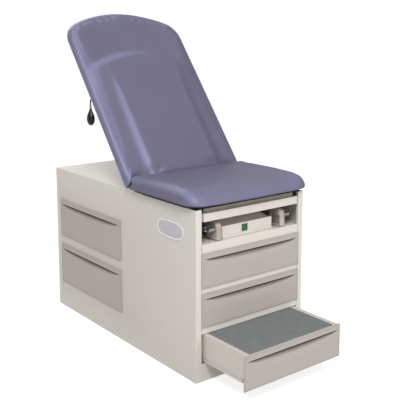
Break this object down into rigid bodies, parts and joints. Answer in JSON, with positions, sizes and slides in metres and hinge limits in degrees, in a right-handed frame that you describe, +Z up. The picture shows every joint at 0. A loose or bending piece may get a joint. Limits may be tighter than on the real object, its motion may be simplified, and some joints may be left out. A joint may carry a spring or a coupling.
{
  "type": "medical exam table",
  "caption": "Exam table with a steel cabinet, drawers in front and side, pull-out step, leg rest, stirrups and pan, fixed seat and tilting back.",
  "frame": {"origin": "on the floor under the middle of the cabinet, at the base pan's underside", "axes": "+Z up, -Y towards the foot end with the step and the front drawers, -X towards the side with the two side drawers"},
  "size_m": [0.6933, 1.487, 1.5677],
  "materials": {
    "cream_paint": "satin",
    "taupe_plastic": "satin",
    "vinyl": "satin",
    "grey_mat": "matte",
    "zinc_steel": "satin",
    "bright_steel": "polished",
    "black_plastic": "gloss",
    "black_paint": "satin",
    "dark_board": "matte",
    "badge_plastic": "gloss",
    "cream_plastic": "satin"
  },
  "bodies": {
    "cabinet": {"base_pan": "cream_paint", "left_side_panel": "cream_paint", "right_side_panel": "cream_paint", "rear_panel": "cream_paint", "top_deck": "cream_paint", "front_rail_upper": "cream_paint", "front_rail_middle": "cream_paint", "front_rail_lower": "cream_paint", "badge_plate": "badge_plastic", "compartment_tray": "cream_paint", "left_slide_frame": "zinc_steel", "right_slide_frame": "zinc_steel", "mid_bulkhead": "zinc_steel", "rear_bulkhead": "zinc_steel", "front_drawer_upper_left_rail": "zinc_steel", "front_drawer_upper_right_rail": "zinc_steel", "front_drawer_lower_left_rail": "zinc_steel", "front_drawer_lower_right_rail": "zinc_steel", "side_drawer_upper_left_rail": "zinc_steel", "side_drawer_upper_right_rail": "zinc_steel", "side_drawer_lower_left_rail": "zinc_steel", "side_drawer_lower_right_rail": "zinc_steel", "step_left_rail": "zinc_steel", "step_right_rail": "zinc_steel", "seat_board": "dark_board", "seat_cushion": "vinyl", "back_hinge_bracket_left": "zinc_steel", "back_hinge_bracket_right": "zinc_steel", "spring_anchor": "zinc_steel"},
    "backrest": {"back_board": "dark_board", "back_cushion": "vinyl", "back_hinge_arm_left": "zinc_steel", "back_hinge_arm_right": "zinc_steel", "spring_lug": "zinc_steel"},
    "release": {"release_lever": "bright_steel", "release_grip": "black_plastic"},
    "gas_cylinder": {"gas_spring_cylinder": "black_paint"},
    "gas_rod": {"gas_spring_rod": "bright_steel"},
    "front_drawer_upper": {"front_drawer_upper_box": "cream_paint", "front_drawer_upper_front": "taupe_plastic"},
    "front_drawer_lower": {"front_drawer_lower_box": "cream_paint", "front_drawer_lower_front": "taupe_plastic"},
    "side_drawer_upper": {"side_drawer_upper_box": "cream_paint", "side_drawer_upper_front": "taupe_plastic"},
    "side_drawer_lower": {"side_drawer_lower_box": "cream_paint", "side_drawer_lower_front": "taupe_plastic"},
    "step": {"step_box": "cream_paint", "step_mat": "grey_mat", "step_front": "taupe_plastic"},
    "leg_rest": {"leg_rest_panel": "zinc_steel", "leg_rest_bar": "cream_paint", "leg_rest_pad": "vinyl"},
    "treatment_pan": {"treatment_pan": "cream_paint"},
    "stirrup_left_arm": {"stirrup_left_tube": "bright_steel"},
    "stirrup_left_knuckle": {"stirrup_left_swivel": "zinc_steel"},
    "stirrup_left_foot": {"stirrup_left_foot_plate": "cream_plastic"},
    "stirrup_right_arm": {"stirrup_right_tube": "bright_steel"},
    "stirrup_right_knuckle": {"stirrup_right_swivel": "zinc_steel"},
    "stirrup_right_foot": {"stirrup_right_foot_plate": "cream_plastic"}
  },
  "joints": [
    {"name": "backrest_tilt", "type": "hinge", "parent": "cabinet", "child": "backrest", "pos_m": [0, -0.1125, 0.768], "axis": [1, 0, 0], "range_deg": [-52, 0]},
    {"name": "release_lever_turn", "type": "hinge", "parent": "backrest", "child": "release", "pos_m": [-0.33, 0.19302, 1.14605], "axis": [1, 0, 0], "range_deg": [-15, 0], "stiffness_Nm_per_rad": 0.8},
    {"name": "gas_cylinder_swing", "type": "hinge", "parent": "cabinet", "child": "gas_cylinder", "pos_m": [0, -0.0875, 0.662], "axis": [1, 0, 0], "range_deg": [-43.2, 0.2]},
    {"name": "gas_rod_slide", "type": "slide", "parent": "gas_cylinder", "child": "gas_rod", "axis": [0, 0.4874, 0.8732], "range_m": [-0.0864, 0.0003]},
    {"name": "front_drawer_upper_slide", "type": "slide", "parent": "cabinet", "child": "front_drawer_upper", "axis": [0, -1, 0], "range_m": [0, 0.42]},
    {"name": "front_drawer_lower_slide", "type": "slide", "parent": "cabinet", "child": "front_drawer_lower", "axis": [0, -1, 0], "range_m": [0, 0.42]},
    {"name": "side_drawer_upper_slide", "type": "slide", "parent": "cabinet", "child": "side_drawer_upper", "axis": [-1, 0, 0], "range_m": [0, 0.42]},
    {"name": "side_drawer_lower_slide", "type": "slide", "parent": "cabinet", "child": "side_drawer_lower", "axis": [-1, 0, 0], "range_m": [0, 0.42]},
    {"name": "step_slide", "type": "slide", "parent": "cabinet", "child": "step", "axis": [0, -1, 0], "range_m": [-0.266, 0]},
    {"name": "leg_rest_slide", "type": "slide", "parent": "cabinet", "child": "leg_rest", "axis": [0, -1, 0], "range_m": [0, 0.38]},
    {"name": "treatment_pan_slide", "type": "slide", "parent": "cabinet", "child": "treatment_pan", "axis": [0, -1, 0], "range_m": [0, 0.34]},
    {"name": "stirrup_left_slide", "type": "slide", "parent": "cabinet", "child": "stirrup_left_arm", "axis": [0, -1, 0], "range_m": [0, 0.3]},
    {"name": "stirrup_left_swivel_turn", "type": "hinge", "parent": "stirrup_left_arm", "child": "stirrup_left_knuckle", "pos_m": [-0.228, -0.5655, 0.652], "axis": [0, 0, -1], "range_deg": [0, 35]},
    {"name": "stirrup_left_foot_tilt", "type": "hinge", "parent": "stirrup_left_knuckle", "child": "stirrup_left_foot", "pos_m": [-0.1835, -0.5895, 0.652], "axis": [1, 0, 0], "range_deg": [0, 45]},
    {"name": "stirrup_right_slide", "type": "slide", "parent": "cabinet", "child": "stirrup_right_arm", "axis": [0, -1, 0], "range_m": [0, 0.3]},
    {"name": "stirrup_right_swivel_turn", "type": "hinge", "parent": "stirrup_right_arm", "child": "stirrup_right_knuckle", "pos_m": [0.228, -0.5655, 0.652], "axis": [0, 0, 1], "range_deg": [0, 35]},
    {"name": "stirrup_right_foot_tilt", "type": "hinge", "parent": "stirrup_right_knuckle", "child": "stirrup_right_foot", "pos_m": [0.1835, -0.5895, 0.652], "axis": [1, 0, 0], "range_deg": [0, 45]}
  ],
  "couplings": [
    {"joint": "gas_cylinder_swing", "follows": "backrest_tilt", "ratio": 0.8258},
    {"joint": "gas_rod_slide", "follows": "backrest_tilt", "m_per_rad": 0.09478}
  ]
}
